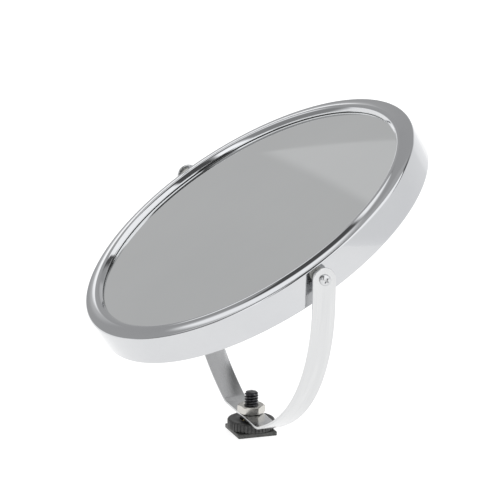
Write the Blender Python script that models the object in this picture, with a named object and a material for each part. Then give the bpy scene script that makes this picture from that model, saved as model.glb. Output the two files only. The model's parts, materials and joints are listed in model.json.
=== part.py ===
"""Round tilting mirror in a deep chromed rim, carried by a U-shaped strap yoke on an accessory-shoe foot.

Metres, +Z up. The origin is the centre of the foot's underside. The tilt axis is parallel to X through
(0, 0, PIVOT_H). The mirror head is modelled flat, in its own frame (local +Z is the mirror's normal, local
origin on the tilt axis), and hangs on the empty "tilt_axis", which is turned by TILT_DEG.
"""

import math

import bmesh
import bpy
from mathutils import Vector

MM = 0.001

# ---------------------------------------------------------------- driving dimensions (millimetres, degrees)
RIM_R = 85.0  # outer radius of the rim: a 170 mm mirror head
RIM_FRONT = 5.4  # front of the rim at its outer shoulder, above the tilt axis
RIM_BACK = -8.9  # back plane of the rim below the tilt axis
RIM_WALL = 1.0  # wall of the drawn side band
BEAD_R = 76.0  # inner edge of the raised bead, the visible mirror's radius
BEAD_CROWN_R = 78.3  # radius at the bead's crown
BEAD_TOP = 6.8  # crown of the bead
BEAD_FOOT = 4.55  # bottom of the bead, just above the glass
HEM_R = 82.2  # inner radius of the hem rolled in behind the rear cover
GLASS_R = 79.8
GLASS_T = 2.0
GLASS_EDGE_Z = 4.15  # front face of the glass at its edge
GLASS_CURVE_R = 1950.0  # gentle convex curve of the glass
RIM_SEGMENTS = 64

PIVOT_H = 97.6  # height of the tilt axis above the foot's underside
TILT_DEG = 32.43  # tilt of the head as it stands

ARM_X = 90.8  # outer face of each yoke arm
STRAP_W = 10.6
STRAP_T = 1.2
STRAP_BASE_Z = 7.97  # underside of the yoke's flat base
STRAP_FLAT = 21.2  # half length of the flat base
STRAP_BEND_0 = 20.0  # tangent just after the base, then it turns up to 90 degrees
STRAP_BEND_1 = 0.2774  # degrees per millimetre along the arc
STRAP_BEND_2 = 0.002944

STUD_R = 3.175  # 1/4 inch stud
STUD_PITCH = 1.27  # 20 threads per inch
STUD_TOP = 19.2
STUD_HEAD_R = 5.0
STUD_HEAD_T = 0.9
THREAD_DEPTH = 0.62
BORE_R = 3.28  # running bore on the stud

FOOT_W = 18.6  # accessory-shoe foot
FOOT_T = 2.0
WHEEL_R = 10.85
WHEEL_Z0, WHEEL_Z1 = 2.25, 6.45
WHEEL_RIBS = 40
WHEEL_BORE_R = 5.1
COLLAR_Z0, COLLAR_Z1 = 6.72, 7.78

NUT_AF = 11.11  # 7/16 inch across flats
NUT_Z0, NUT_Z1 = 9.36, 13.06

SCREW_R = 1.25  # M2.5 pivot screws
SCREW_HEAD_R = 2.5
SCREW_HEAD_T = 1.9
PIVOT_HOLE_R = 1.335
PIVOT_SEGMENTS = 24


# ---------------------------------------------------------------- helpers
def clear_scene():
    for ob in list(bpy.data.objects):
        bpy.data.objects.remove(ob, do_unlink=True)


def material(name, rgb, rough, metal):
    mat = bpy.data.materials.new(name)
    mat.use_nodes = True
    bsdf = next(n for n in mat.node_tree.nodes if n.type == "BSDF_PRINCIPLED")
    bsdf.inputs["Base Color"].default_value = (*rgb, 1.0)
    bsdf.inputs["Roughness"].default_value = rough
    bsdf.inputs["Metallic"].default_value = metal
    mat.diffuse_color = (*rgb, 1.0)
    return mat


def add(name, bm, mat=None, parent=None, place=None, smooth=35.0):
    """Makes one named object of a bmesh whose coordinates are millimetres."""
    bmesh.ops.scale(bm, verts=bm.verts, vec=(MM, MM, MM))
    bmesh.ops.recalc_face_normals(bm, faces=bm.faces)
    me = bpy.data.meshes.new(name)
    bm.to_mesh(me)
    bm.free()
    me.shade_smooth()
    me.set_sharp_from_angle(angle=math.radians(smooth))
    ob = bpy.data.objects.new(name, me)
    bpy.context.scene.collection.objects.link(ob)
    if mat:
        me.materials.append(mat)
    if parent:
        ob.parent = parent
    if place is not None:
        ob.location = Vector(place) * MM
    return ob


def spun(profile, segments, axis="Z", closed=True):
    """Spins a profile of (radius, height) about an axis. An open profile starts and ends on the axis."""
    bm = bmesh.new()
    at = {"Z": lambda r, h: (r, 0, h), "X": lambda r, h: (h, r, 0)}[axis]
    turn = {"Z": (0, 0, 1), "X": (1, 0, 0)}[axis]
    verts = [bm.verts.new(at(r, h)) for r, h in profile]
    count = len(verts)
    edges = [bm.edges.new((verts[i], verts[(i + 1) % count])) for i in range(count if closed else count - 1)]
    bmesh.ops.spin(
        bm, geom=verts + edges, cent=(0, 0, 0), axis=turn, dvec=(0, 0, 0),
        angle=2 * math.pi, steps=segments, use_merge=True, use_duplicate=False,
    )
    bmesh.ops.remove_doubles(bm, verts=bm.verts, dist=1e-5)
    bmesh.ops.dissolve_degenerate(bm, edges=bm.edges, dist=1e-5)
    return bm


def arc(cx, cz, r, a0, a1, steps):
    """Points on a circle, degrees from +radius towards +height."""
    out = []
    for i in range(steps + 1):
        a = math.radians(a0 + (a1 - a0) * i / steps)
        out.append((cx + r * math.cos(a), cz + r * math.sin(a)))
    return out


def prism(outline, z0, z1):
    bm = bmesh.new()
    face = bm.faces.new([bm.verts.new((x, y, z0)) for x, y in outline])
    up = bmesh.ops.extrude_face_region(bm, geom=[face])
    moved = [e for e in up["geom"] if isinstance(e, bmesh.types.BMVert)]
    bmesh.ops.translate(bm, verts=moved, vec=(0, 0, z1 - z0))
    return bm


def hexagon(across_flats, turn=0.0):
    r = across_flats / 2 / math.cos(math.pi / 6)
    return [(r * math.cos(math.radians(60 * i + turn)), r * math.sin(math.radians(60 * i + turn))) for i in range(6)]


def cutter(name, bm, parent=None, place=None):
    ob = add(name, bm, parent=parent, place=place)
    ob.hide_render = True
    ob.display_type = "WIRE"
    return ob


def boolean(ob, tool, operation="DIFFERENCE"):
    mod = ob.modifiers.new(tool.name, "BOOLEAN")
    mod.operation = operation
    mod.solver = "EXACT"
    mod.object = tool


def rod(r, h0, h1, segments, axis="Z"):
    return spun([(0, h0), (r, h0), (r, h1), (0, h1)], segments, axis, closed=False)


# ---------------------------------------------------------------- the model
clear_scene()

CHROME = material("chrome", (0.86, 0.87, 0.88), 0.08, 1.0)
STEEL = material("plated_steel", (0.78, 0.79, 0.80), 0.22, 1.0)
MIRROR = material("mirror_silver", (0.80, 0.81, 0.80), 0.03, 1.0)
RUBBER = material("black_rubber", (0.015, 0.015, 0.016), 0.6, 0.0)
BOARD = material("hardboard", (0.25, 0.16, 0.09), 0.85, 0.0)
GREY_PLASTIC = material("grey_plastic", (0.32, 0.33, 0.34), 0.55, 0.0)
COVER = material("cover_plastic", (0.50, 0.50, 0.505), 0.5, 0.0)
NYLON = material("nylon", (0.80, 0.79, 0.74), 0.45, 0.0)
NICKEL = material("nickel_nut", (0.66, 0.64, 0.60), 0.2, 1.0)
BLACK_STEEL = material("black_steel", (0.02, 0.02, 0.021), 0.32, 0.9)
BLACK_PLASTIC = material("black_plastic", (0.02, 0.02, 0.021), 0.45, 0.0)
BRASS = material("brass", (0.72, 0.55, 0.25), 0.3, 1.0)

# The tilt axis: everything on the mirror head hangs on it.
tilt = bpy.data.objects.new("tilt_axis", None)
bpy.context.scene.collection.objects.link(tilt)
tilt.location = (0, 0, PIVOT_H * MM)
tilt.rotation_euler = (math.radians(TILT_DEG), 0, 0)

# --- rim: one drawn band with a rounded shoulder, a face that rises to a bead beside the glass, and a hem rolled in behind
inner = RIM_R - RIM_WALL
rise = [(83.2, 5.5), (82.2, 5.66), (81.3, 5.87), (80.5, 6.12), (79.8, 6.38)]
rim_profile = (
    [(RIM_R, RIM_BACK + 0.3)]
    + arc(RIM_R - 0.9, RIM_FRONT - 0.9, 0.9, 0, 90, 3)
    + rise
    + arc(BEAD_CROWN_R, BEAD_TOP - 2.6, 2.6, 68, 114, 3)
    + arc(BEAD_CROWN_R - 0.65, BEAD_TOP - 1.14, 1.0, 122, 140, 1)
    + [(BEAD_R, 5.2), (BEAD_R, BEAD_FOOT + 0.1), (BEAD_R + 0.1, BEAD_FOOT), (78.2, BEAD_FOOT), (79.8, 4.95), (81.5, 4.8), (inner - 1.0, RIM_FRONT - 0.95)]
    + [(inner, RIM_FRONT - 1.9), (inner, RIM_BACK + 0.8), (HEM_R, RIM_BACK + 0.8), (HEM_R, RIM_BACK + 0.1)]
    + [(RIM_R - 0.4, RIM_BACK)]
)
rim = add("rim_drum", spun(rim_profile, RIM_SEGMENTS), CHROME, tilt)
hole = cutter("cut_pivot_holes", rod(PIVOT_HOLE_R, -RIM_R - 3, RIM_R + 3, PIVOT_SEGMENTS, "X"), tilt)
boolean(rim, hole)

# --- gasket between the bead and the glass, its inner edge shows as a thin black line
add(
    "edge_gasket",
    spun([(79.5, 4.29), (78.0, BEAD_FOOT - 0.03), (BEAD_R + 0.15, BEAD_FOOT - 0.03), (BEAD_R + 0.15, 4.34), (79.5, 4.2)], RIM_SEGMENTS),
    RUBBER, tilt,
)


# --- glass: bent to a gentle convex curve, front and back parallel
def glass_z(r):
    return GLASS_EDGE_Z + (GLASS_R**2 - r**2) / (2 * GLASS_CURVE_R)


front = [(r, glass_z(r)) for r in (0.0, 27.0, 54.0, GLASS_R - 0.3)]
back = [(r, z - GLASS_T) for r, z in reversed(front[:-1])]
glass_profile = front + [(GLASS_R, GLASS_EDGE_Z - 0.3), (GLASS_R, GLASS_EDGE_Z - GLASS_T)] + back
add("mirror_glass", spun(glass_profile, RIM_SEGMENTS, closed=False), MIRROR, tilt, smooth=20)

# --- backing board, spacer ring and rear cover, stacked behind the glass
add("backing_board", rod(79.6, -0.51, 1.99, RIM_SEGMENTS), BOARD, tilt)
add("spacer_ring", spun([(74.0, -6.6), (79.4, -6.6), (79.4, -0.76), (74.0, -0.76)], RIM_SEGMENTS), GREY_PLASTIC, tilt)
cover_profile = [(0, -8.65), (76.8, -8.65), (78.4, -7.85), (83.6, -7.85), (83.6, -6.85), (77.9, -6.85), (76.3, -7.6), (0, -7.6)]
add("rear_cover", spun(cover_profile, RIM_SEGMENTS, closed=False), COVER, tilt)


# --- pivots, one set on each side: screw, friction washer, spacer, inner washer and nut
def pivot_screw(side):
    head0 = ARM_X + 0.16
    dome = []
    for i in range(6):
        a = math.radians(90 * i / 5)
        dome.append((SCREW_HEAD_R * math.cos(a) ** 0.8 if i < 5 else 0.0, head0 + 0.75 + (SCREW_HEAD_T - 0.75) * math.sin(a)))
    profile = [(0, 80.4), (SCREW_R - 0.35, 80.4), (SCREW_R, 80.75), (SCREW_R, head0), (SCREW_HEAD_R, head0)] + dome
    bm = spun(profile, PIVOT_SEGMENTS, "X", closed=False)
    if side < 0:
        bmesh.ops.scale(bm, verts=bm.verts, vec=(-1, 1, 1))
    return bm


def cross_recess(side):
    """A tapered cross, cut into the screw head from outside."""
    top, bottom = ARM_X + 0.16 + SCREW_HEAD_T + 0.5, ARM_X + 0.16 + 0.75
    a, b = 0.30, 1.45  # half width and half length at the mouth
    plus = [(a, a), (b, a), (b, -a), (a, -a), (a, -b), (-a, -b), (-a, -a), (-b, -a), (-b, a), (-a, a), (-a, b), (a, b)]
    bm = bmesh.new()
    low = [bm.verts.new((side * bottom, y * 0.55, z * 0.55)) for y, z in plus]
    high = [bm.verts.new((side * top, y, z)) for y, z in plus]
    bm.faces.new(low)
    bm.faces.new(high)
    for i in range(12):
        j = (i + 1) % 12
        bm.faces.new((low[i], low[j], high[j], high[i]))
    return bm


def ring(side, x0, x1, r_out, r_in, segments=PIVOT_SEGMENTS):
    bm = spun([(r_in, x0), (r_out, x0), (r_out, x1), (r_in, x1)], segments, "X")
    if side < 0:
        bmesh.ops.scale(bm, verts=bm.verts, vec=(-1, 1, 1))
    return bm


def small_nut(side, x0, x1, across_flats, r_in):
    """A hexagon nut along X with a round bore, bridged face to face."""
    bm = bmesh.new()
    out_r = across_flats / 2 / math.cos(math.pi / 6)
    loops = []
    for x in (x0, x1):
        outer = [bm.verts.new((side * x, out_r * math.cos(math.pi / 3 * i), out_r * math.sin(math.pi / 3 * i))) for i in range(6)]
        bore = [
            bm.verts.new((side * x, r_in * math.cos(math.pi / 9 * i), r_in * math.sin(math.pi / 9 * i)))
            for i in range(18)
        ]
        loops.append((outer, bore))
    for k in range(2):
        outer, bore = loops[k]
        for i in range(6):
            fan = [bore[(3 * i + j) % 18] for j in range(4)]
            for j in range(3):
                tri = (outer[i], fan[j], fan[j + 1]) if j < 2 else (outer[i], fan[2], fan[3])
                bm.faces.new(tri)
            bm.faces.new((outer[i], fan[3], outer[(i + 1) % 6]))
    for i in range(6):
        j = (i + 1) % 6
        bm.faces.new((loops[0][0][i], loops[0][0][j], loops[1][0][j], loops[1][0][i]))
    for i in range(18):
        j = (i + 1) % 18
        bm.faces.new((loops[0][1][i], loops[0][1][j], loops[1][1][j], loops[1][1][i]))
    return bm


for label, side in (("right", 1), ("left", -1)):
    screw = add(f"pivot_screw_{label}", pivot_screw(side), STEEL, tilt)
    boolean(screw, cutter(f"cut_recess_{label}", cross_recess(side), tilt))
    add(f"friction_washer_{label}", ring(side, 88.62, 89.42, 3.6, 1.40), NYLON, tilt)
    add(f"pivot_spacer_{label}", ring(side, 85.25, 88.42, 2.6, 1.40), STEEL, tilt)
    add(f"inner_washer_{label}", ring(side, 83.05, 83.6, 3.0, 1.40), STEEL, tilt)
    add(f"pivot_nut_{label}", small_nut(side, 80.85, 82.85, 5.0, 1.40), STEEL, tilt)


# --- yoke: one flat strap bent into a U, its ends rounded about the tilt axis
def yoke_rows():
    """Centre line of the strap's outer face on the +X side: (x, z, tangent in degrees, half width)."""
    rows = [(0.0, STRAP_BASE_Z, 0.0), (STRAP_FLAT / 2, STRAP_BASE_Z, 0.0), (STRAP_FLAT, STRAP_BASE_Z, 0.0)]
    x, z, s, step = STRAP_FLAT, STRAP_BASE_Z, 0.0, 0.25
    arc_rows = []
    while True:
        angle = STRAP_BEND_0 + STRAP_BEND_1 * s + STRAP_BEND_2 * s * s
        if angle >= 90.0:
            break
        arc_rows.append((x, z, angle))
        x += step * math.cos(math.radians(angle))
        z += step * math.sin(math.radians(angle))
        s += step
    arc_rows.append((x, z, 90.0))
    # the arc is stretched by under one part in a hundred so that it ends exactly in the arm's plane
    stretch = (ARM_X - STRAP_FLAT) / (x - STRAP_FLAT)
    keep = arc_rows[2::24] + [arc_rows[-1]]
    rows += [(STRAP_FLAT + (px - STRAP_FLAT) * stretch, pz, a) for px, pz, a in keep]
    half = STRAP_W / 2
    rows = [(px, pz, a, half) for px, pz, a in rows]
    rows.append((ARM_X, PIVOT_H - half * 0.6, 90.0, half))
    for i in range(0, 10):
        a = math.radians(90.0 * i / 9.4)
        rows.append((ARM_X, PIVOT_H + half * math.sin(a), 90.0, half * math.cos(a)))
    return rows


def strap():
    right = yoke_rows()
    left = [(-x, z, -a, w) for x, z, a, w in reversed(right[1:])]
    bm = bmesh.new()
    previous = None
    for x, z, angle, half in left + right:
        a = math.radians(angle)
        up = Vector((-math.sin(a), 0, math.cos(a))) * STRAP_T
        low0, low1 = bm.verts.new((x, -half, z)), bm.verts.new((x, half, z))
        high0 = bm.verts.new((x + up.x, -half, z + up.z))
        high1 = bm.verts.new((x + up.x, half, z + up.z))
        row = (low0, low1, high1, high0)
        if previous is None:
            bm.faces.new(row)
        else:
            for i in range(4):
                j = (i + 1) % 4
                bm.faces.new((previous[i], previous[j], row[j], row[i]))
        previous = row
    bm.faces.new(previous)
    return bm


yoke = add("yoke_strap", strap(), STEEL, smooth=40)
boolean(yoke, cutter("cut_yoke_stud", rod(BORE_R, STRAP_BASE_Z - 1, STRAP_BASE_Z + 3, 32)))
boolean(yoke, cutter("cut_yoke_pivots", rod(PIVOT_HOLE_R, -ARM_X - 2, ARM_X + 2, PIVOT_SEGMENTS, "X"), place=(0, 0, PIVOT_H)))

# --- foot: a square plate for an accessory shoe, bored for the stud and counterbored for its head
half = FOOT_W / 2
foot_bm = prism([(-half, -half), (half, -half), (half, half), (-half, half)], 0.0, FOOT_T)
foot = add("shoe_foot", foot_bm, BLACK_PLASTIC)
bevel = foot.modifiers.new("edge", "BEVEL")
bevel.width = 0.35 * MM
bevel.segments = 1
boolean(foot, cutter("cut_foot_bore", rod(BORE_R, -1, FOOT_T + 1, 32)))
boolean(foot, cutter("cut_foot_head", rod(STUD_HEAD_R + 0.25, -1, STUD_HEAD_T + 0.2, 32)))


# --- stud: flat head flush with the foot, threaded where it stands out above the clamp nut
def stud():
    thread0, thread1 = NUT_Z1 - 0.35, STUD_TOP - 0.75
    steps = int(round((thread1 - thread0) / (STUD_PITCH / 6)))
    profile = [(0, 0), (STUD_HEAD_R - 0.3, 0), (STUD_HEAD_R, 0.25), (STUD_HEAD_R, STUD_HEAD_T), (STUD_R, STUD_HEAD_T)]
    profile += [(STUD_R, thread0 + (thread1 - thread0) * i / steps) for i in range(steps + 1)]
    profile += [(STUD_R - 0.65, STUD_TOP), (0, STUD_TOP)]
    bm = spun(profile, 24, closed=False)
    for v in bm.verts:
        if thread0 - 1e-4 <= v.co.z <= thread1 + 1e-4:
            along = (v.co.z / STUD_PITCH - math.atan2(v.co.y, v.co.x) / (2 * math.pi)) % 1.0
            fade = min(1.0, (v.co.z - thread0) / 0.4, (thread1 - v.co.z) / 0.3)
            tooth = max(0.0, abs(2 * along - 1) * 1.25 - 0.25)
            r = STUD_R - THREAD_DEPTH * tooth * max(0.0, fade)
            scale = r / math.hypot(v.co.x, v.co.y)
            v.co.x *= scale
            v.co.y *= scale
    return bm


add("threaded_stud", stud(), BLACK_STEEL, smooth=50)
add("seat_collar", spun([(BORE_R, COLLAR_Z0), (4.7, COLLAR_Z0), (4.7, COLLAR_Z1), (BORE_R, COLLAR_Z1)], 32), BLACK_STEEL)


# --- lock wheel: ribbed ring moulded round a threaded bush
def wheel_outline(shrink):
    out = []
    deep = WHEEL_R - 0.42
    for i in range(WHEEL_RIBS):
        for offset, r in ((0.0, deep), (0.22, WHEEL_R), (0.62, WHEEL_R), (0.84, deep)):
            a = 2 * math.pi * (i + offset) / WHEEL_RIBS
            out.append(((r - shrink) * math.cos(a), (r - shrink) * math.sin(a)))
    return out


def wheel_body():
    levels = [(0.55, WHEEL_Z0), (0.0, WHEEL_Z0 + 0.55), (0.0, WHEEL_Z1 - 0.6), (0.6, WHEEL_Z1)]
    bm = bmesh.new()
    loops = [[bm.verts.new((x, y, z)) for x, y in wheel_outline(shrink)] for shrink, z in levels]
    count = len(loops[0])
    for low, high in zip(loops, loops[1:]):
        for i in range(count):
            j = (i + 1) % count
            bm.faces.new((low[i], low[j], high[j], high[i]))
    bm.faces.new(loops[0])
    bm.faces.new(loops[-1])
    return bm


wheel = add("lock_wheel", wheel_body(), BLACK_PLASTIC, smooth=25)
boolean(wheel, cutter("cut_wheel_bore", rod(WHEEL_BORE_R, WHEEL_Z0 - 1, WHEEL_Z1 + 1, 32)))
bush_profile = [(BORE_R, WHEEL_Z0 + 0.1), (4.85, WHEEL_Z0 + 0.1), (4.85, 5.1), (BORE_R, 5.1)]
add("wheel_bush", spun(bush_profile, 32), BRASS)

# --- clamp nut: a hexagon turned down at its corners
nut = add("clamp_nut", prism(hexagon(NUT_AF, 12.0), NUT_Z0, NUT_Z1), NICKEL, smooth=25)
corner = NUT_AF / 2 / math.cos(math.pi / 6)
flat = NUT_AF / 2
cone = [
    (0, NUT_Z0 - 0.5), (flat - 0.8, NUT_Z0 - 0.5), (flat - 0.1, NUT_Z0), (corner + 0.4, NUT_Z0 + 0.75),
    (corner + 0.4, NUT_Z1 - 0.75), (flat - 0.1, NUT_Z1), (flat - 0.8, NUT_Z1 + 0.5), (0, NUT_Z1 + 0.5),
]
boolean(nut, cutter("cut_nut_corners", spun(cone, 36, closed=False)), "INTERSECT")
boolean(nut, cutter("cut_nut_bore", rod(BORE_R + 0.05, NUT_Z0 - 1, NUT_Z1 + 1, 32)))

bpy.context.view_layer.update()
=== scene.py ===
"""Looks of the round tilting mirror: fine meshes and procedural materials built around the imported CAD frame.

Everything is in metres, in the frame of the CAD: origin under the foot, +Z up, tilt axis parallel to X.
Profiles below are written in millimetres and scaled once, when a mesh is made.
"""

import json
import math

import bmesh
import bpy
from mathutils import Matrix, Vector


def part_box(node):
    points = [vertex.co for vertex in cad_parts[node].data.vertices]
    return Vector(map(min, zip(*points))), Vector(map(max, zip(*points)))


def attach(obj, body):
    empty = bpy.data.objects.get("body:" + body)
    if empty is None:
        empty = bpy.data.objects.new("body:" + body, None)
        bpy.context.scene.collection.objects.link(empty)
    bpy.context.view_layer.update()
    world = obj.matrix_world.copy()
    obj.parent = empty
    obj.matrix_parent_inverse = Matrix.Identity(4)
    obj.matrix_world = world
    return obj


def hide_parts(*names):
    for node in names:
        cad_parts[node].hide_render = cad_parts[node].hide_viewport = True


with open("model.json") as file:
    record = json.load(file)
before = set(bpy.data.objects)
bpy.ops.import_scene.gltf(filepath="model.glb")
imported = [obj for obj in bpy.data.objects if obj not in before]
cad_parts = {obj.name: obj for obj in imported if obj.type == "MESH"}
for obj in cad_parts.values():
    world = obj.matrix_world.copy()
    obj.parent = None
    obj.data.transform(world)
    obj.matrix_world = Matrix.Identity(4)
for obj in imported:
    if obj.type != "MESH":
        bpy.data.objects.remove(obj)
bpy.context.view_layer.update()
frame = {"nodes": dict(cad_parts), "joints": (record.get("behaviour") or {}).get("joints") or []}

MM = 0.001
scene = bpy.context.scene


# ------------------------------------------------------------------ places read from the frame
def joint(name):
    return next(j for j in frame["joints"] if j["name"] == name)


PIVOT_H = joint("mirror_tilt")["pos_m"][2] / MM
TILT = math.radians(32.43)
HEAD = Matrix.Translation((0, 0, PIVOT_H * MM)) @ Matrix.Rotation(TILT, 4, "X")


def z_span(node):
    low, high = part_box(node)
    return low.z / MM, high.z / MM


def x_span(node):
    low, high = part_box(node)
    return min(abs(low.x), abs(high.x)) / MM, max(abs(low.x), abs(high.x)) / MM


RIM_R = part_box("rim_drum")[1].x / MM
ARM_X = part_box("yoke_strap")[1].x / MM
STRAP_W = (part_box("yoke_strap")[1].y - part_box("yoke_strap")[0].y) / MM
STRAP_BASE_Z = z_span("yoke_strap")[0]
NUT_Z0, NUT_Z1 = z_span("clamp_nut")
STUD_TOP = z_span("threaded_stud")[1]
WHEEL_Z0, WHEEL_Z1 = z_span("lock_wheel")
COLLAR_Z0, COLLAR_Z1 = z_span("seat_collar")
FOOT_T = z_span("shoe_foot")[1]
FOOT_W = (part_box("shoe_foot")[1].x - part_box("shoe_foot")[0].x) / MM

# the shapes' own dimensions, millimetres
STRAP_T = 1.2
STUD_R, STUD_PITCH = 3.175, 1.27
BORE_R = 3.28
NUT_AF = 11.11
WHEEL_R, WHEEL_RIBS, WHEEL_BORE_R = 10.85, 40, 5.1
SCREW_R, SCREW_HEAD_R, SCREW_HEAD_T = 1.25, 2.5, 1.9
RIM_FRONT, RIM_BACK = 5.4, -8.9
BEAD_R, BEAD_CROWN_R, BEAD_TOP, BEAD_FOOT = 76.0, 78.3, 6.8, 4.55
GLASS_R, GLASS_T, GLASS_EDGE_Z, GLASS_CURVE_R = 79.8, 2.0, 4.15, 1950.0
FINE = 320  # segments round the rim


# ------------------------------------------------------------------ node materials
class Surface:
    """A small writer of node materials round one Principled shader."""

    def __init__(self, name, **constants):
        self.mat = bpy.data.materials.new(name)
        self.mat.use_nodes = True
        self.tree = self.mat.node_tree
        self.bsdf = next(n for n in self.tree.nodes if n.type == "BSDF_PRINCIPLED")
        self.coord = self.tree.nodes.new("ShaderNodeTexCoord")
        self.normal = None
        for key, value in constants.items():
            self.bsdf.inputs[key.replace("_", " ")].default_value = value

    def link(self, a, b):
        self.tree.links.new(a, b)
        return self

    def place(self, scale=(1, 1, 1), kind="Object", turn=(0, 0, 0)):
        node = self.tree.nodes.new("ShaderNodeMapping")
        node.inputs["Scale"].default_value = scale
        node.inputs["Rotation"].default_value = turn
        self.link(self.coord.outputs[kind], node.inputs["Vector"])
        return node.outputs["Vector"]

    def noise(self, scale, detail=4.0, rough=0.55, stretch=(1, 1, 1), kind="Object", distortion=0.0, turn=(0, 0, 0)):
        node = self.tree.nodes.new("ShaderNodeTexNoise")
        node.inputs["Scale"].default_value = scale
        node.inputs["Detail"].default_value = detail
        node.inputs["Roughness"].default_value = rough
        node.inputs["Distortion"].default_value = distortion
        self.link(self.place(stretch, kind, turn), node.inputs["Vector"])
        return node.outputs["Fac"]

    def cells(self, scale, stretch=(1, 1, 1), kind="Object", feature="F1"):
        node = self.tree.nodes.new("ShaderNodeTexVoronoi")
        node.feature = feature
        node.inputs["Scale"].default_value = scale
        self.link(self.place(stretch, kind), node.inputs["Vector"])
        return node.outputs["Distance"]

    def rings(self, scale, kind="Object", axis="Z"):
        """Fine turning marks: noise on the distance from an axis."""
        split = self.tree.nodes.new("ShaderNodeSeparateXYZ")
        self.link(self.coord.outputs[kind], split.inputs[0])
        a, b = {"Z": ("X", "Y"), "X": ("Y", "Z")}[axis]
        square = [self.math("MULTIPLY", split.outputs[k], split.outputs[k]) for k in (a, b)]
        radius = self.math("SQRT", self.math("ADD", square[0], square[1]))
        along = self.math("MULTIPLY", radius, scale)
        both = self.math("ADD", along, self.math("MULTIPLY", split.outputs[axis], scale))
        node = self.tree.nodes.new("ShaderNodeTexNoise")
        node.noise_dimensions = "1D"
        node.inputs["Scale"].default_value = 1.0
        node.inputs["Detail"].default_value = 3.0
        self.link(both, node.inputs["W"])
        return node.outputs["Fac"]

    def math(self, operation, a, b=None, c=None):
        node = self.tree.nodes.new("ShaderNodeMath")
        node.operation = operation
        for i, value in enumerate((a, b, c)):
            if value is None:
                continue
            if isinstance(value, (int, float)):
                node.inputs[i].default_value = value
            else:
                self.link(value, node.inputs[i])
        return node.outputs[0]

    def span(self, value, low, high, to_low, to_high):
        node = self.tree.nodes.new("ShaderNodeMapRange")
        node.inputs["From Min"].default_value = low
        node.inputs["From Max"].default_value = high
        node.inputs["To Min"].default_value = to_low
        node.inputs["To Max"].default_value = to_high
        self.link(value, node.inputs["Value"])
        return node.outputs["Result"]

    def mix(self, fac, a, b):
        node = self.tree.nodes.new("ShaderNodeMix")
        node.data_type = "RGBA"
        if isinstance(fac, (int, float)):
            node.inputs[0].default_value = fac
        else:
            self.link(fac, node.inputs[0])
        for slot, value in ((6, a), (7, b)):
            if isinstance(value, tuple):
                node.inputs[slot].default_value = (*value, 1.0)
            else:
                self.link(value, node.inputs[slot])
        return node.outputs[2]

    def edges(self, low, high):
        """1 on sharp outward edges, 0 on flats, from the mesh's pointiness."""
        node = self.tree.nodes.new("ShaderNodeNewGeometry")
        return self.span(node.outputs["Pointiness"], low, high, 0.0, 1.0)

    def bump(self, height, strength, distance):
        node = self.tree.nodes.new("ShaderNodeBump")
        node.inputs["Strength"].default_value = strength
        node.inputs["Distance"].default_value = distance
        self.link(height, node.inputs["Height"])
        if self.normal is not None:
            self.link(self.normal, node.inputs["Normal"])
        self.normal = node.outputs["Normal"]
        return self

    def color(self, value):
        return self.link(value, self.bsdf.inputs["Base Color"])

    def rough(self, value):
        return self.link(value, self.bsdf.inputs["Roughness"])

    def done(self):
        if self.normal is not None:
            self.link(self.normal, self.bsdf.inputs["Normal"])
        return self.mat


def polished_chrome():
    s = Surface("polished_chrome", Metallic=1.0)
    haze = s.noise(14.0, 5.0, 0.6)
    s.color(s.mix(s.span(haze, 0.35, 0.7, 0.0, 1.0), (0.60, 0.605, 0.615), (0.56, 0.567, 0.58)))
    wipe = s.noise(60.0, 6.0, 0.65, stretch=(1.0, 0.35, 0.35), distortion=0.6)
    smear = s.span(wipe, 0.42, 0.72, 0.035, 0.085)
    s.rough(smear)
    s.bump(s.noise(900.0, 2.0, 0.5), 0.05, 0.00002)
    return s.done()


def silvered_glass():
    s = Surface("silvered_glass", Metallic=1.0, Coat_Weight=0.6, Coat_Roughness=0.015, Coat_IOR=1.5)
    haze = s.noise(9.0, 4.0, 0.6)
    s.color(s.mix(s.span(haze, 0.3, 0.75, 0.0, 1.0), (0.845, 0.855, 0.85), (0.80, 0.81, 0.808)))
    wipe = s.noise(30.0, 6.0, 0.7, stretch=(1.0, 0.25, 1.0), distortion=0.8, turn=(0, 0, 0.5))
    s.rough(s.span(wipe, 0.4, 0.75, 0.012, 0.05))
    s.bump(s.noise(6.0, 1.0, 0.4), 0.015, 0.0002)
    return s.done()


def mirror_backing():
    s = Surface("mirror_backing_paint", Metallic=0.0)
    patch = s.noise(120.0, 5.0, 0.6)
    s.color(s.mix(patch, (0.10, 0.105, 0.11), (0.16, 0.165, 0.17)))
    s.rough(s.span(patch, 0.3, 0.7, 0.5, 0.7))
    s.bump(patch, 0.2, 0.00005)
    return s.done()


def plated_strap():
    s = Surface("plated_strap", Metallic=1.0, Anisotropic=0.35)
    grain = s.noise(1.0, 5.0, 0.65, stretch=(35.0, 5200.0, 1.0), kind="UV")
    broad = s.noise(1.0, 3.0, 0.5, stretch=(18.0, 420.0, 1.0), kind="UV")
    haze = s.noise(40.0, 4.0, 0.6)
    lines = s.math("MULTIPLY", grain, 0.6)
    lines = s.math("ADD", lines, s.math("MULTIPLY", broad, 0.4))
    s.color(s.mix(s.span(lines, 0.35, 0.65, 0.0, 1.0), (0.60, 0.605, 0.61), (0.67, 0.673, 0.675)))
    s.rough(s.math("ADD", s.span(lines, 0.3, 0.7, 0.13, 0.20), s.span(haze, 0.3, 0.75, 0.0, 0.05)))
    s.bump(lines, 0.10, 0.00003)
    return s.done()


def turned_steel(name, bright, dark, low=0.14, high=0.26, axis="Z", scale=9000.0):
    s = Surface(name, Metallic=1.0)
    marks = s.rings(scale, axis=axis)
    haze = s.noise(160.0, 5.0, 0.6)
    s.color(s.mix(s.span(s.math("ADD", marks, haze), 0.7, 1.3, 0.0, 1.0), bright, dark))
    s.rough(s.span(haze, 0.3, 0.7, low, high))
    s.bump(marks, 0.12, 0.00003)
    return s.done()


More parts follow.
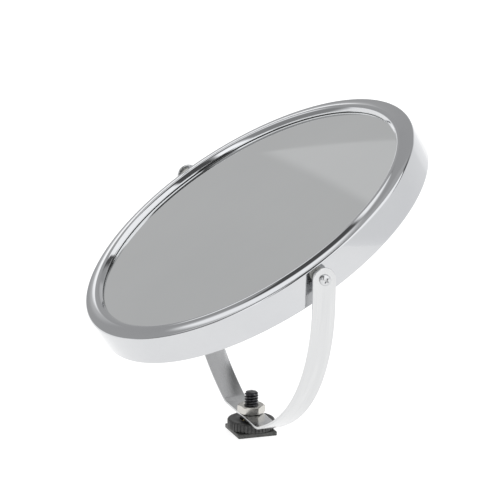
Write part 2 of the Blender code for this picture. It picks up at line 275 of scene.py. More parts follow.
def black_oxide():
    s = Surface("black_oxide", Metallic=1.0, Specular_IOR_Level=0.5)
    patch = s.noise(420.0, 5.0, 0.6)
    base = s.mix(s.span(patch, 0.35, 0.7, 0.0, 1.0), (0.030, 0.031, 0.036), (0.060, 0.060, 0.062))
    worn = s.math("MULTIPLY", s.edges(0.53, 0.60), s.span(s.noise(900.0, 3.0, 0.6), 0.45, 0.65, 0.15, 0.9))
    s.color(s.mix(worn, base, (0.55, 0.55, 0.56)))
    s.rough(s.span(patch, 0.3, 0.7, 0.07, 0.15))
    s.bump(s.noise(2600.0, 3.0, 0.5), 0.12, 0.00003)
    return s.done()


def black_plastic(name, tone=(0.018, 0.018, 0.019), light=(0.040, 0.040, 0.038), low=0.34, high=0.5, grain=2400.0, depth=0.22):
    s = Surface(name, Metallic=0.0, IOR=1.5)
    patch = s.noise(260.0, 4.0, 0.6)
    base = s.mix(s.span(patch, 0.35, 0.7, 0.0, 1.0), tone, light)
    worn = s.math("MULTIPLY", s.edges(0.515, 0.57), s.span(s.noise(700.0, 4.0, 0.6), 0.4, 0.7, 0.1, 0.8))
    s.color(s.mix(worn, base, (0.13, 0.13, 0.125)))
    s.rough(s.span(patch, 0.3, 0.75, low, high))
    s.bump(s.cells(grain), depth, 0.00004)
    s.bump(s.noise(500.0, 3.0, 0.5), 0.08, 0.00006)
    return s.done()


def moulded(name, a, b, low=0.45, high=0.6):
    s = Surface(name, Metallic=0.0)
    patch = s.noise(200.0, 4.0, 0.6)
    s.color(s.mix(patch, a, b))
    s.rough(s.span(patch, 0.3, 0.7, low, high))
    s.bump(s.noise(1800.0, 3.0, 0.55), 0.15, 0.00004)
    return s.done()


def hardboard():
    s = Surface("hardboard", Metallic=0.0)
    fibre = s.noise(500.0, 8.0, 0.75, stretch=(1.0, 0.3, 1.0), distortion=1.2)
    s.color(s.mix(s.span(fibre, 0.3, 0.7, 0.0, 1.0), (0.16, 0.095, 0.05), (0.32, 0.21, 0.12)))
    s.rough(s.span(fibre, 0.3, 0.7, 0.75, 0.92))
    s.bump(fibre, 0.4, 0.00015)
    return s.done()


CHROME = polished_chrome()
MIRROR = silvered_glass()
BACKING = mirror_backing()
STRAP = plated_strap()
SCREW_STEEL = turned_steel("screw_steel", (0.64, 0.645, 0.65), (0.55, 0.555, 0.56), axis="X")
NUT_STEEL = turned_steel("nickel_nut", (0.64, 0.625, 0.59), (0.54, 0.525, 0.49), 0.16, 0.30)
BRASS = turned_steel("turned_brass", (0.80, 0.62, 0.30), (0.66, 0.48, 0.20), 0.2, 0.34)
OXIDE = black_oxide()
WHEEL_PLASTIC = black_plastic("wheel_plastic")
FOOT_PLASTIC = black_plastic("foot_plastic", (0.020, 0.021, 0.020), (0.046, 0.047, 0.043), 0.36, 0.52)
COVER_PLASTIC = moulded("cover_plastic", (0.48, 0.48, 0.485), (0.53, 0.53, 0.535), 0.42, 0.56)
RUBBER = moulded("gasket_rubber", (0.010, 0.010, 0.011), (0.022, 0.022, 0.023), 0.55, 0.75)
NYLON = moulded("natural_nylon", (0.72, 0.71, 0.66), (0.82, 0.81, 0.76), 0.35, 0.5)
GREY = moulded("grey_moulding", (0.26, 0.27, 0.28), (0.34, 0.35, 0.36))
BOARD = hardboard()


# ------------------------------------------------------------------ mesh helpers, millimetres until made() scales them
def made(name, bm, mat, body, replaces=(), place=None, smooth=30.0):
    bmesh.ops.recalc_face_normals(bm, faces=bm.faces)
    bmesh.ops.scale(bm, verts=bm.verts, vec=(MM, MM, MM))
    mesh = bpy.data.meshes.new(name)
    bm.to_mesh(mesh)
    bm.free()
    mesh.shade_smooth()
    if smooth:
        mesh.set_sharp_from_angle(angle=math.radians(smooth))
    ob = bpy.data.objects.new(name, mesh)
    scene.collection.objects.link(ob)
    for m in mat if isinstance(mat, (list, tuple)) else (mat,):
        if m:
            mesh.materials.append(m)
    if place is not None:
        ob.matrix_world = place
    if body:
        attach(ob, body)
        if replaces:
            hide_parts(*replaces)
    return ob


def tool(name, bm, place=None):
    return made(name, bm, None, None, place=place, smooth=0)


def cut(ob, *tools, operation="DIFFERENCE", smooth=30.0):
    """Applies exact booleans and drops the tools."""
    for t in tools:
        mod = ob.modifiers.new(t.name, "BOOLEAN")
        mod.operation, mod.solver, mod.object = operation, "EXACT", t
    settle(ob, smooth)
    for t in tools:
        bpy.data.objects.remove(t, do_unlink=True)


def settle(ob, smooth=30.0):
    bpy.context.view_layer.update()
    mesh = bpy.data.meshes.new_from_object(ob.evaluated_get(bpy.context.evaluated_depsgraph_get()))
    ob.modifiers.clear()
    ob.data = mesh
    mesh.shade_smooth()
    if smooth:
        mesh.set_sharp_from_angle(angle=math.radians(smooth))


def rounded(points, closed=True, steps=6):
    """Corners (r, h, radius) turned into true arcs; returns (r, h) points."""
    out = []
    count = len(points)
    for i, (x, y, rad) in enumerate(points):
        if rad <= 0 or (not closed and i in (0, count - 1)):
            out.append((x, y))
            continue
        p = Vector((x, y))
        before = Vector(points[i - 1][:2]) - p
        after = Vector(points[(i + 1) % count][:2]) - p
        d1, d2 = before.normalized(), after.normalized()
        half = d1.angle(d2) / 2
        if half > math.radians(88):
            out.append((x, y))
            continue
        reach = min(rad / math.tan(half), before.length * 0.49, after.length * 0.49)
        rad = reach * math.tan(half)
        centre = p + (d1 + d2).normalized() * (rad / math.sin(half))
        a0 = (p + d1 * reach) - centre
        a1 = (p + d2 * reach) - centre
        start = math.atan2(a0.y, a0.x)
        sweep = math.atan2(a1.y, a1.x) - start
        sweep = (sweep + math.pi) % (2 * math.pi) - math.pi
        for k in range(steps + 1):
            a = start + sweep * k / steps
            out.append((centre.x + rad * math.cos(a), centre.y + rad * math.sin(a)))
    return out


def spun(profile, segments, axis="Z", closed=True):
    bm = bmesh.new()
    at = {"Z": lambda r, h: (r, 0, h), "X": lambda r, h: (h, r, 0)}[axis]
    turn = {"Z": (0, 0, 1), "X": (1, 0, 0)}[axis]
    verts = [bm.verts.new(at(r, h)) for r, h in profile]
    count = len(verts)
    edges = [bm.edges.new((verts[i], verts[(i + 1) % count])) for i in range(count if closed else count - 1)]
    bmesh.ops.spin(
        bm, geom=verts + edges, cent=(0, 0, 0), axis=turn, dvec=(0, 0, 0),
        angle=2 * math.pi, steps=segments, use_merge=True, use_duplicate=False,
    )
    bmesh.ops.remove_doubles(bm, verts=bm.verts, dist=1e-4)
    bmesh.ops.dissolve_degenerate(bm, edges=bm.edges, dist=1e-5)
    return bm


def rod(r, h0, h1, segments, axis="Z"):
    return spun([(0, h0), (r, h0), (r, h1), (0, h1)], segments, axis, closed=False)


def prism(outline, z0, z1):
    bm = bmesh.new()
    face = bm.faces.new([bm.verts.new((x, y, z0)) for x, y in outline])
    up = bmesh.ops.extrude_face_region(bm, geom=[face])
    moved = [e for e in up["geom"] if isinstance(e, bmesh.types.BMVert)]
    bmesh.ops.translate(bm, verts=moved, vec=(0, 0, z1 - z0))
    return bm


def mirrored(bm, side):
    if side < 0:
        bmesh.ops.scale(bm, verts=bm.verts, vec=(-1, 1, 1))
    return bm


# ------------------------------------------------------------------ mirror head
def eased(points, per=6):
    """A Catmull-Rom curve through the points, so a drawn section has no flats."""
    pts = [points[0]] + list(points) + [points[-1]]
    out = []
    for i in range(1, len(pts) - 2):
        p0, p1, p2, p3 = (Vector(q) for q in pts[i - 1 : i + 3])
        for k in range(per):
            t = k / per
            q = 0.5 * (2 * p1 + (p2 - p0) * t + (2 * p0 - 5 * p1 + 4 * p2 - p3) * t * t + (3 * p1 - p0 - 3 * p2 + p3) * t**3)
            out.append((q.x, q.y))
    out.append(tuple(points[-1]))
    return out


def arc(cx, cz, r, a0, a1, steps):
    return [
        (cx + r * math.cos(math.radians(a0 + (a1 - a0) * i / steps)), cz + r * math.sin(math.radians(a0 + (a1 - a0) * i / steps)))
        for i in range(steps + 1)
    ]


def rim():
    wall = RIM_R - 1.0
    crown = arc(BEAD_CROWN_R, BEAD_TOP - 2.6, 2.6, 68, 114, 16) + arc(BEAD_CROWN_R - 0.65, BEAD_TOP - 1.14, 1.0, 116, 140, 10)
    rise = eased([(RIM_R - 0.9, RIM_FRONT), (83.2, 5.5), (82.2, 5.66), (81.3, 5.87), (80.5, 6.12), (79.8, 6.38), crown[0]])
    inside = [
        (*crown[-1], 0), (BEAD_R, 5.2, 0.35), (BEAD_R, BEAD_FOOT + 0.12, 0), (BEAD_R + 0.12, BEAD_FOOT, 0), (78.2, BEAD_FOOT, 0), (79.8, 4.95, 0.3), (81.5, 4.8, 0),
        (wall - 1.0, RIM_FRONT - 0.95, 0.3), (wall, RIM_FRONT - 1.9, 0.3), (wall, RIM_BACK + 0.8, 0.2),
        (82.2, RIM_BACK + 0.8, 0.3), (82.2, RIM_BACK + 0.08, 0.3), (83.4, RIM_BACK, 0), (RIM_R, RIM_BACK, 0.5),
    ]
    hem = rounded(inside, closed=False)
    corner = rounded([(83.4, RIM_BACK, 0), (RIM_R, RIM_BACK, 0.5), (RIM_R, 0, 0)], closed=False)[1:-1]
    profile = corner + arc(RIM_R - 0.9, RIM_FRONT - 0.9, 0.9, 0, 88, 14) + rise[:-1] + crown[:-1] + hem[:-1]
    ob = made("rim_shell", spun(profile, FINE), CHROME, "mirror_head", ("rim_drum",), HEAD, smooth=38)
    cut(ob, tool("pivot_drill", rod(1.335, -RIM_R - 3, RIM_R + 3, 48, "X"), HEAD), smooth=38)
    return ob


def glass_z(r):
    return GLASS_EDGE_Z + (GLASS_R**2 - r**2) / (2 * GLASS_CURVE_R)


def glass():
    front = [(79.3 * i / 36, glass_z(79.3 * i / 36)) for i in range(37)]
    profile = front + [(GLASS_R, GLASS_EDGE_Z - 0.35), (GLASS_R, GLASS_EDGE_Z - GLASS_T + 0.3), (79.5, GLASS_EDGE_Z - GLASS_T)]
    profile += [(r, z - GLASS_T) for r, z in reversed(front[:-1:6])]
    ob = made("mirror_pane", spun(profile, FINE, closed=False), (MIRROR, BACKING), "mirror_head", ("mirror_glass",), HEAD, smooth=20)
    for p in ob.data.polygons:
        p.material_index = 0 if p.normal.z > 0.5 else 1
    return ob


def gasket():
    corners = [
        (79.5, 4.29, 0.02), (78.0, BEAD_FOOT - 0.03, 0.02), (BEAD_R + 0.12, BEAD_FOOT - 0.03, 0.05),
        (BEAD_R + 0.12, glass_z(BEAD_R) + 0.03, 0.05), (79.5, glass_z(79.5) + 0.04, 0.02),
    ]
    return made("glass_gasket", spun(rounded(corners, steps=4), FINE), RUBBER, "mirror_head", ("edge_gasket",), HEAD)


def cover():
    """Dished moulding with two raised rings, a centre button and a soft outer step."""
    back = [
        (0, -8.35, 0), (6.5, -8.35, 0.2), (7.2, -8.65, 0.2), (30.0, -8.65, 0.3), (30.6, -8.86, 0.25), (32.4, -8.86, 0.25), (33.0, -8.65, 0.3),
        (58.0, -8.65, 0.3), (58.6, -8.86, 0.25), (60.4, -8.86, 0.25), (61.0, -8.65, 0.3), (76.8, -8.65, 0.8), (78.4, -7.85, 0.6), (83.6, -7.85, 0.2),
    ]
    inside = [(83.6, -6.85, 0.2), (77.9, -6.85, 0.5), (76.3, -7.6, 0.5), (0, -7.6, 0)]
    return made("rear_cover_shell", spun(rounded(back + inside, closed=False, steps=5), FINE, closed=False), COVER_PLASTIC, "mirror_head", ("rear_cover",), HEAD, smooth=35)


def dome_profile(base, top, radius, skirt, steps=12):
    out = [(radius - 0.08, base), (radius, base + 0.08), (radius, base + skirt)]
    for i in range(1, steps + 1):
        a = math.radians(90 * i / steps)
        out.append((radius * math.cos(a) ** 0.8 if i < steps else 0.0, base + skirt + (top - base - skirt) * math.sin(a)))
    return out


def pivot_set(label, side):
    head0 = x_span("yoke_strap")[1] + 0.16
    tip = x_span(f"pivot_screw_{label}")[0]
    shank = [(0, tip), (SCREW_R - 0.35, tip), (SCREW_R, tip + 0.35)]
    # rolled thread on the hidden end, plain neck through the arm and the bush
    turns = 0
    z = tip + 0.5
    while z < 83.6:
        shank += [(SCREW_R, z), (SCREW_R - 0.2, z + 0.22)]
        z += 0.45
        turns += 1
    shank += [(SCREW_R, z), (SCREW_R, head0)]
    profile = shank + dome_profile(head0, head0 + SCREW_HEAD_T, SCREW_HEAD_R, 0.7)
    bm = mirrored(spun(profile, 64, "X", closed=False), side)
    ob = made(f"pan_head_screw_{label}", bm, SCREW_STEEL, "mirror_head", (f"pivot_screw_{label}",), HEAD, smooth=32)
    top, bottom = head0 + SCREW_HEAD_T + 0.5, head0 + 0.75
    a, b = 0.30, 1.45
    plus = [(a, a), (b, a), (b, -a), (a, -a), (a, -b), (-a, -b), (-a, -a), (-b, -a), (-b, a), (-a, a), (-a, b), (a, b)]
    cb = bmesh.new()
    low = [cb.verts.new((side * bottom, y * 0.55, w * 0.55)) for y, w in plus]
    high = [cb.verts.new((side * top, y, w)) for y, w in plus]
    cb.faces.new(low)
    cb.faces.new(high)
    for i in range(12):
        j = (i + 1) % 12
        cb.faces.new((low[i], low[j], high[j], high[i]))
    turn = HEAD @ Matrix.Rotation(math.radians(24 * side), 4, "X")
    cut(ob, tool("driver", cb, turn), smooth=32)

    def collar(name, x0, x1, r_out, r_in, edge, mat, node, slot):
        corners = [(r_in, x0, edge), (r_out, x0, edge), (r_out, x1, edge), (r_in, x1, edge)]
        bm = mirrored(spun(rounded(corners, steps=4), 64, "X"), side)
        return made(name, bm, mat, "mirror_head", (node,), HEAD, smooth=40)

    x0, x1 = x_span(f"friction_washer_{label}")
    collar(f"nylon_washer_{label}", x0, x1, 3.6, 1.40, 0.12, NYLON, f"friction_washer_{label}", "nylon")
    x0, x1 = x_span(f"pivot_spacer_{label}")
    collar(f"spacer_bush_{label}", x0, x1, 2.6, 1.40, 0.18, SCREW_STEEL, f"pivot_spacer_{label}", "plated_steel")
    x0, x1 = x_span(f"inner_washer_{label}")
    collar(f"flat_washer_{label}", x0, x1, 3.0, 1.40, 0.08, SCREW_STEEL, f"inner_washer_{label}", "plated_steel")


rim()
glass()
gasket()
cover()
for label, side in (("right", 1), ("left", -1)):
    pivot_set(label, side)


# ------------------------------------------------------------------ yoke: a flat blank with rounded ends, bent along its line
STRAP_FLAT = 21.2


def strap_line():
    """Outer face on the +X side at every 0.25 mm of arc length: (s, x, z, tangent in radians)."""
    bend, step = 2.6, 0.25
    raw = []
    x, z, s, u = STRAP_FLAT, STRAP_BASE_Z, 0.0, 0.0
    while True:
        angle = 20.0 + 0.2774 * u + 0.002944 * u * u
        if angle >= 90.0:
            break
        raw.append((x, z, angle))
        x += step * math.cos(math.radians(angle))
        z += step * math.sin(math.radians(angle))
        u += step
    stretch = (ARM_X - STRAP_FLAT) / (x - STRAP_FLAT)
    pts = [(0.5 * i, STRAP_BASE_Z) for i in range(int(STRAP_FLAT / 0.5))]
    pts += [(STRAP_FLAT + (px - STRAP_FLAT) * stretch, pz) for px, pz, _ in raw]
    top = PIVOT_H + STRAP_W
    z0 = pts[-1][1]
    pts += [(ARM_X, z0 + 0.5 * (i + 1)) for i in range(int((top - z0) / 0.5))]
    # even spacing, then a short running mean that gives the press-bend its real radius
    walked = [0.0]
    for a, b in zip(pts, pts[1:]):
        walked.append(walked[-1] + math.dist(a, b))
    line, k, total = [], 0, walked[-1]
    n = int(total / 0.25)
    for i in range(n + 1):
        t = i * 0.25
        while k < len(walked) - 2 and walked[k + 1] < t:
            k += 1
        f = (t - walked[k]) / (walked[k + 1] - walked[k])
        line.append(Vector((pts[k][0] + (pts[k + 1][0] - pts[k][0]) * f, pts[k][1] + (pts[k + 1][1] - pts[k][1]) * f)))
    reach = int(bend / 0.25)
    smooth = []
    for i, p in enumerate(line):
        w = min(reach, i if i else 0, len(line) - 1 - i)
        if i < reach:  # mirrored past the middle, so the base stays flat
            w = min(reach, i)
        span = line[i - w : i + w + 1]
        smooth.append(sum(span, Vector((0, 0))) / len(span))
    out, s = [], 0.0
    for i, p in enumerate(smooth):
        if i:
            s += (p - smooth[i - 1]).length
        q = smooth[min(i + 1, len(smooth) - 1)] - smooth[max(i - 1, 0)]
        out.append((s, p.x, p.y, math.atan2(q.y, q.x)))
    return out


LINE = strap_line()


def on_strap(s, y, depth):
    """A point of the flat blank, carried to the bent strap. depth runs from the outer face inward."""
    side, s = (1.0 if s >= 0 else -1.0), abs(s)
    lo, hi = 0, len(LINE) - 1
    while hi - lo > 1:
        mid = (lo + hi) // 2
        if LINE[mid][0] <= s:
            lo = mid
        else:
            hi = mid
    a, b = LINE[lo], LINE[hi]
    f = (s - a[0]) / (b[0] - a[0])
    x, z, t = (a[k] + (b[k] - a[k]) * f for k in (1, 2, 3))
    return Vector((side * (x - math.sin(t) * depth), y, z + math.cos(t) * depth))


def pivot_station():
    return next(s + (PIVOT_H - z) for s, x, z, t in LINE if z > PIVOT_H - 1.0)


def strap():
    half, edge, end = STRAP_W / 2, 0.28, pivot_station()
    rows = [end * i / 150 for i in range(151)]
    rows = [-s for s in reversed(rows[1:])] + rows

    def outline(inset):
        r = half - inset
        ring = [(s, -r) for s in rows]
        ring += [(end + r * math.sin(math.radians(a)), -r * math.cos(math.radians(a))) for a in range(6, 180, 6)]
        ring += [(s, r) for s in reversed(rows)]
        ring += [(-end - r * math.sin(math.radians(a)), r * math.cos(math.radians(a))) for a in range(6, 180, 6)]
        return ring

    levels = []
    for i in range(6):
        a = math.radians(90 * i / 5)
        levels.append((edge * (1 - math.sin(a)), edge * (1 - math.cos(a))))
    levels += [(inset, STRAP_T - depth) for inset, depth in reversed(levels)]
    bm = bmesh.new()
    uv = bm.loops.layers.uv.new("UVMap")
    flat = {}
    loops = []
    for inset, depth in levels:
        loop = []
        for s, y in outline(inset):
            v = bm.verts.new(on_strap(s, y, depth))
            flat[v] = (s, y)
            loop.append(v)
        loops.append(loop)
    count = len(loops[0])
    for low, high in zip(loops, loops[1:]):
        for i in range(count):
            j = (i + 1) % count
            bm.faces.new((low[i], low[j], high[j], high[i]))
    straight = len(rows)
    cap = (count - 2 * straight) // 2
    for loop in (loops[0], loops[-1]):
        near = loop[:straight]
        far = list(reversed(loop[straight + cap : 2 * straight + cap]))
        for i in range(straight - 1):
            bm.faces.new((near[i], near[i + 1], far[i + 1], far[i]))
        right = [near[-1]] + loop[straight : straight + cap] + [far[-1]]
        left = [far[0]] + loop[2 * straight + cap :] + [near[0]]
        bm.faces.new(right)
        bm.faces.new(left)
    for f in bm.faces:
        for corner in f.loops:
            s, y = flat[corner.vert]
            corner[uv].uv = (s * MM, y * MM)
    ob = made("yoke_band", bm, STRAP, "yoke", ("yoke_strap",), smooth=32)
    cut(
        ob,
        tool("stud_hole", rod(BORE_R, STRAP_BASE_Z - 1, STRAP_BASE_Z + 3, 64)),
        tool("pivot_hole", rod(1.335, -ARM_X - 2, ARM_X + 2, 48, "X"), Matrix.Translation((0, 0, PIVOT_H * MM))),
        smooth=32,
    )
    return ob


strap()


# ------------------------------------------------------------------ foot, stud, wheel and nut
def foot():
    half = FOOT_W / 2
    ob = made("shoe_plate", prism([(-half, -half), (half, -half), (half, half), (-half, half)], 0.0, FOOT_T), FOOT_PLASTIC, "base", ("shoe_foot",), smooth=30)
    corners = ob.modifiers.new("corners", "BEVEL")
    corners.width, corners.segments, corners.limit_method = 0.38 * MM, 4, "ANGLE"
    settle(ob)
    cut(ob, tool("bore", rod(BORE_R, -1, FOOT_T + 1, 64)), tool("counterbore", rod(5.25, -1, 1.1, 64)))
    return ob


def stud():
    base = z_span("threaded_stud")[0]
    segments = 72
    bm = bmesh.new()
    rows = [("head", r, z) for r, z in rounded([(0, base, 0), (5.0, base, 0.25), (5.0, base + 0.9, 0.12), (STUD_R, base + 0.9, 0)], closed=False, steps=4)]
    z, step = base + 0.95, STUD_PITCH / 14
    thread0 = COLLAR_Z0 - 0.6
    rows.append(("plain", STUD_R, z))
    for plain in (BORE_R * 0 + 2.4, thread0):
        rows.append(("plain", STUD_R, plain))
    count = int((STUD_TOP - thread0) / step)
    for i in range(1, count):
        rows.append(("thread", STUD_R, thread0 + (STUD_TOP - thread0) * i / count))
    top = [(STUD_R - 0.72, STUD_TOP), (1.2, STUD_TOP), (0, STUD_TOP - 0.12)]
    rows += [("plain", r, z) for r, z in top]
    previous = None
    for kind, r, z in rows:
        if r <= 1e-9:
            ring = [bm.verts.new((0, 0, z))]
        else:
            ring = []
            for i in range(segments):
                a = 2 * math.pi * i / segments
                rr = r
                if kind == "thread":
                    along = (z / STUD_PITCH - i / segments) % 1.0
                    tooth = max(0.0, min(1.0, (abs(2 * along - 1) - 0.10) / 0.78))
                    tooth = tooth * tooth * (3 - 2 * tooth) * 0.35 + tooth * 0.65
                    fade = min(1.0, (z - thread0) / 0.5)
                    rr = min(STUD_R - 0.68 * tooth * fade, STUD_R - 0.72 + (STUD_TOP - z) * 1.0)
                ring.append(bm.verts.new((rr * math.cos(a), rr * math.sin(a), z)))
        if previous:
            for i in range(segments):
                j = (i + 1) % segments
                if len(previous) == 1:
                    bm.faces.new((previous[0], ring[j], ring[i]))
                elif len(ring) == 1:
                    bm.faces.new((previous[i], previous[j], ring[0]))
                else:
                    bm.faces.new((previous[i], previous[j], ring[j], ring[i]))
        previous = ring
    return made("stud_body", bm, OXIDE, "base", ("threaded_stud",), smooth=55)


def collar():
    corners = [(BORE_R, COLLAR_Z0, 0.1), (4.7, COLLAR_Z0, 0.15), (4.7, COLLAR_Z1, 0.15), (BORE_R, COLLAR_Z1, 0.1)]
    return made("seat_ring", spun(rounded(corners, steps=4), 96), OXIDE, "base", ("seat_collar",), smooth=40)


def wheel():
    count, deep = WHEEL_RIBS * 14, 0.42

    def radius(i, inset):
        t = (i / 14.0) % 1.0
        ridge = max(0.0, min(1.0, (0.40 - abs(t - 0.42)) / 0.14))
        ridge = ridge * ridge * (3 - 2 * ridge)
        return WHEEL_R - inset - deep * (1 - ridge)

    top, bottom = WHEEL_Z1, WHEEL_Z0
    levels = [(0.75, bottom), (0.35, bottom + 0.10), (0.10, bottom + 0.32), (0.0, bottom + 0.6), (0.0, top - 0.75)]
    levels += [(0.09, top - 0.45), (0.32, top - 0.2), (0.62, top - 0.06), (0.95, top)]
    bm = bmesh.new()
    loops = []
    for k, (inset, z) in enumerate(levels):
        # the ribs fade out over the rounded shoulders
        fade = 1.0 if 2 <= k <= 6 else (0.55 if k in (1, 7) else 0.0)
        loop = []
        for i in range(count):
            a = 2 * math.pi * i / count
            r = WHEEL_R - inset - (WHEEL_R - inset - radius(i, inset)) * fade - (1 - fade) * 0.2
            loop.append(bm.verts.new((r * math.cos(a), r * math.sin(a), z)))
        loops.append(loop)

    def plain(r, z):
        loops.append([bm.verts.new((r * math.cos(2 * math.pi * i / count), r * math.sin(2 * math.pi * i / count), z)) for i in range(count)])

    # top face: a shallow dished ring, then the bore, and back to the underside
    for r, z in ((9.3, top), (8.9, top - 0.10), (6.3, top - 0.12), (5.9, top - 0.02), (WHEEL_BORE_R + 0.2, top), (WHEEL_BORE_R, top - 0.2)):
        plain(r, z)
    for r, z in ((WHEEL_BORE_R, bottom + 0.2), (WHEEL_BORE_R + 0.2, bottom), (9.2, bottom)):
        plain(r, z)
    for low, high in zip(loops, loops[1:] + loops[:1]):
        for i in range(count):
            j = (i + 1) % count
            bm.faces.new((low[i], low[j], high[j], high[i]))
    return made("ribbed_wheel", bm, WHEEL_PLASTIC, "wheel", ("lock_wheel",), smooth=30)


def bush():
    low, high = z_span("wheel_bush")
    corners = [(BORE_R, low, 0.15), (4.85, low, 0.15), (4.85, high, 0.15), (BORE_R, high, 0.3)]
    return made("threaded_bush", spun(rounded(corners, steps=4), 96), BRASS, "wheel_carrier", ("wheel_bush",), smooth=40)


def nut():
    turn = 12.0
    r = NUT_AF / 2 / math.cos(math.pi / 6)
    hexagon = [(r * math.cos(math.radians(60 * i + turn)), r * math.sin(math.radians(60 * i + turn))) for i in range(6)]
    ob = made("hexagon_nut", prism(hexagon, NUT_Z0, NUT_Z1), NUT_STEEL, "base", ("clamp_nut",), smooth=20)
    soft = ob.modifiers.new("soft", "BEVEL")
    soft.width, soft.segments, soft.limit_method = 0.16 * MM, 3, "ANGLE"
    settle(ob, 20)
    flat = NUT_AF / 2
    cone = [
        (0, NUT_Z0 - 0.5), (flat - 0.8, NUT_Z0 - 0.5), (flat - 0.1, NUT_Z0), (r + 0.4, NUT_Z0 + 0.75),
        (r + 0.4, NUT_Z1 - 0.75), (flat - 0.1, NUT_Z1), (flat - 0.8, NUT_Z1 + 0.5), (0, NUT_Z1 + 0.5),
    ]
    cut(ob, tool("chamfer", spun(cone, 192, closed=False)), operation="INTERSECT", smooth=20)
    bore = [(0, NUT_Z0 - 1), (BORE_R + 1.45, NUT_Z0 - 1), (BORE_R + 0.05, NUT_Z0 + 0.4), (BORE_R + 0.05, NUT_Z1 - 0.4), (BORE_R + 1.45, NUT_Z1 + 1), (0, NUT_Z1 + 1)]
    cut(ob, tool("nut_bore", spun(bore, 96, closed=False)), smooth=20)
    return ob


foot()
stud()
collar()
wheel()
bush()
nut()

# ------------------------------------------------------------------ CAD nodes kept inside the head, with their own materials
for node, mat in (
    ("backing_board", BOARD), ("spacer_ring", GREY),
    ("pivot_nut_right", SCREW_STEEL), ("pivot_nut_left", SCREW_STEEL),
):
    mesh = frame["nodes"][node].data
    mesh.materials.clear()
    mesh.materials.append(mat)


# ------------------------------------------------------------------ studio
def floor():
    mesh = bpy.data.meshes.new("studio_floor")
    bm = bmesh.new()
    bmesh.ops.create_circle(bm, cap_ends=True, segments=96, radius=1.9)
    bm.to_mesh(mesh)
    bm.free()
    ob = bpy.data.objects.new("studio_floor", mesh)
    ob.location = (0, 0, -0.0002)
    scene.collection.objects.link(ob)
    mat = bpy.data.materials.new("pale_floor")
    mat.use_nodes = True
    bsdf = next(n for n in mat.node_tree.nodes if n.type == "BSDF_PRINCIPLED")
    bsdf.inputs["Base Color"].default_value = (0.33, 0.33, 0.33, 1)
    bsdf.inputs["Roughness"].default_value = 0.9
    bsdf.inputs["Specular IOR Level"].default_value = 0.0
    bsdf.inputs["Emission Color"].default_value = (1, 1, 1, 1)
    bsdf.inputs["Emission Strength"].default_value = 0.87
    mesh.materials.append(mat)


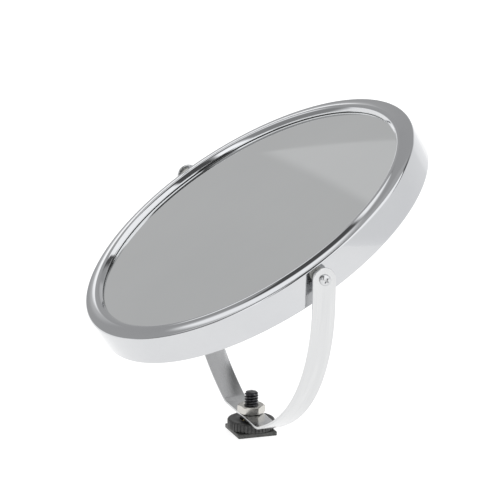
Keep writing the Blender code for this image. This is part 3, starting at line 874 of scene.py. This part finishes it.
def studio_world():
    """White to the eye; to reflections a light tent: pale walls, a grey back wall, long strip lights and dark gaps overhead."""
    world = bpy.data.worlds.new("studio")
    scene.world = world
    world.use_nodes = True
    tree = world.node_tree
    tree.nodes.clear()
    new, link = tree.nodes.new, tree.links.new

    def wire(value, socket):
        if isinstance(value, (int, float)):
            socket.default_value = value
        else:
            link(value, socket)

    def calc(operation, a, b=None, c=None):
        node = new("ShaderNodeMath")
        node.operation = operation
        for i, value in enumerate((a, b, c)):
            if value is not None:
                wire(value, node.inputs[i])
        return node.outputs[0]

    def step(value, low, high):
        node = new("ShaderNodeMapRange")
        node.interpolation_type = "SMOOTHSTEP"
        node.inputs["From Min"].default_value = low
        node.inputs["From Max"].default_value = high
        wire(value, node.inputs["Value"])
        return node.outputs["Result"]

    def ramp(value, stops):
        """Piecewise tone over 0..1, in smooth steps."""
        node = new("ShaderNodeValToRGB")
        node.color_ramp.interpolation = "EASE"
        link(value, node.inputs["Fac"])
        elements = node.color_ramp.elements
        elements[0].position, elements[1].position = stops[0][0], stops[-1][0]
        elements[0].color = (*[stops[0][1]] * 3, 1)
        elements[1].color = (*[stops[-1][1]] * 3, 1)
        for position, tone in stops[1:-1]:
            elements.new(position).color = (tone, tone, tone, 1)
        return node.outputs["Color"]

    def blend(fac, a, b):
        return calc("ADD", calc("MULTIPLY", a, calc("SUBTRACT", 1.0, fac)), calc("MULTIPLY", b, fac))

    coord = new("ShaderNodeTexCoord")
    split = new("ShaderNodeSeparateXYZ")
    link(coord.outputs["Generated"], split.inputs[0])
    x, y, z = (split.outputs[k] for k in "XYZ")
    # overhead: a broad top light, dark gaps on both sides of it, and grey cloth beyond
    away = calc("SUBTRACT", y, calc("ADD", calc("MULTIPLY", x, 1.1), 0.64))
    top_light = calc("MULTIPLY", step(y, -0.20, -0.13), calc("SUBTRACT", 1.0, step(away, 0.0, 0.05)))
    gap_low = calc("MULTIPLY", step(y, -0.53, -0.48), calc("SUBTRACT", 1.0, step(y, -0.20, -0.15)))
    gap_high = calc("MULTIPLY", step(away, 0.02, 0.06), calc("SUBTRACT", 1.0, step(away, 0.16, 0.30)))
    dark = calc("MINIMUM", calc("ADD", gap_low, gap_high), 1.0)
    side_light = calc("MULTIPLY", step(x, 0.42, 0.50), calc("SUBTRACT", 1.0, step(y, -0.58, -0.52)))
    cloth = blend(calc("SUBTRACT", 1.0, step(y, -0.92, -0.62)), 0.46, 0.36)
    cloth = blend(step(y, 0.55, 0.95), cloth, 1.12)
    overhead = blend(dark, cloth, 0.11)
    overhead = blend(top_light, overhead, 1.42)
    overhead = blend(side_light, overhead, 1.6)
    # low down behind the object the walls are pale
    low = calc("MULTIPLY", calc("SUBTRACT", 1.0, step(z, 0.17, 0.30)), step(y, 0.1, 0.4))
    overhead = blend(low, overhead, 1.02)
    # the back wall, seen by the mirror: bright at its foot, grey above, with one panel light high up
    wall = ramp(z, ((0.0, 0.70), (0.06, 0.66), (0.16, 0.34), (0.30, 0.255), (1.0, 0.255)))
    back = calc("MULTIPLY", wall, 1.9)
    panel = calc("MULTIPLY", step(y, -0.60, -0.46), calc("SUBTRACT", 1.0, step(y, -0.24, -0.15)))
    panel = calc("MULTIPLY", panel, calc("MULTIPLY", step(z, 0.49, 0.56), calc("SUBTRACT", 1.0, step(z, 0.74, 0.80))))
    back = blend(panel, back, 1.35)
    back = blend(step(y, 0.40, 0.80), back, 1.12)
    behind = step(calc("MULTIPLY", x, -1.0), 0.50, 0.60)
    tone = blend(behind, overhead, back)
    # below the horizon, past the floor's edge
    tone = blend(step(z, -0.10, 0.0), 1.15, tone)
    # the paler wedge on the back wall: between two planes through the directions of its edges
    tip, upper, lower = Vector((-0.9252, -0.0543, 0.3757)), Vector((-0.8879, -0.0571, 0.4565)), Vector((-0.8733, -0.0998, 0.4768))

    def beyond(a, b, inside, soft):
        n = a.cross(b).normalized()
        if n.dot(inside) < 0:
            n = -n
        node = new("ShaderNodeVectorMath")
        node.operation = "DOT_PRODUCT"
        link(coord.outputs["Generated"], node.inputs[0])
        node.inputs[1].default_value = n
        return step(node.outputs["Value"], -soft, soft)

    wedge = calc("MULTIPLY", beyond(tip, upper, lower, 0.0012), beyond(tip, lower, upper, 0.003))
    wedge = calc("MULTIPLY", wedge, step(calc("MULTIPLY", x, -1.0), 0.70, 0.80))
    tone = calc("MULTIPLY", tone, calc("ADD", 1.0, calc("MULTIPLY", wedge, 0.17)))

    seen = new("ShaderNodeBackground")
    seen.inputs["Color"].default_value = (1, 1, 1, 1)
    seen.inputs["Strength"].default_value = 1.0
    lit = new("ShaderNodeBackground")
    lit.inputs["Color"].default_value = (0.985, 0.99, 1.0, 1)
    link(tone, lit.inputs["Strength"])
    path = new("ShaderNodeLightPath")
    mix = new("ShaderNodeMixShader")
    link(path.outputs["Is Camera Ray"], mix.inputs["Fac"])
    link(lit.outputs[0], mix.inputs[1])
    link(seen.outputs[0], mix.inputs[2])
    out = new("ShaderNodeOutputWorld")
    link(mix.outputs[0], out.inputs["Surface"])


def softbox(name, at, aim, size, power, glossy=True):
    light = bpy.data.lights.new(name, "AREA")
    light.shape = "RECTANGLE"
    light.size, light.size_y = size
    light.energy = power
    ob = bpy.data.objects.new(name, light)
    ob.location = at
    ob.rotation_mode = "QUATERNION"
    ob.rotation_quaternion = (Vector(aim) - Vector(at)).to_track_quat("-Z", "Y")
    ob.visible_glossy = glossy
    scene.collection.objects.link(ob)
    return ob


floor()
studio_world()
softbox("key_softbox", (0.9, -1.1, 1.9), (0, 0, 0.08), (1.1, 1.1), 12.0, glossy=False)
softbox("fill_softbox", (-1.6, 0.9, 1.6), (0, 0, 0.08), (1.2, 1.2), 8.0, glossy=False)

# ------------------------------------------------------------------ camera
camera = bpy.data.cameras.new("camera")
camera.sensor_width = 36.0
camera.lens = 349.8
camera.clip_start, camera.clip_end = 0.05, 100.0
eye = bpy.data.objects.new("camera", camera)
scene.collection.objects.link(eye)
AZ, EL, ROLL = math.radians(69.97), math.radians(16.03), math.radians(0.76)
right = Vector((math.cos(AZ), math.sin(AZ), 0))
back = Vector((math.sin(AZ) * math.cos(EL), -math.cos(AZ) * math.cos(EL), math.sin(EL)))
up = back.cross(right)
side_axis = math.cos(ROLL) * right + math.sin(ROLL) * up
up_axis = -math.sin(ROLL) * right + math.cos(ROLL) * up
spot = -0.434 * MM * side_axis + 82.80 * MM * up_axis + 2216.8 * MM * back
eye.matrix_world = Matrix(
    (
        (side_axis.x, up_axis.x, back.x, spot.x),
        (side_axis.y, up_axis.y, back.y, spot.y),
        (side_axis.z, up_axis.z, back.z, spot.z),
        (0, 0, 0, 1),
    )
)
scene.camera = eye
scene.view_settings.view_transform = "Standard"
scene.view_settings.look = "None"
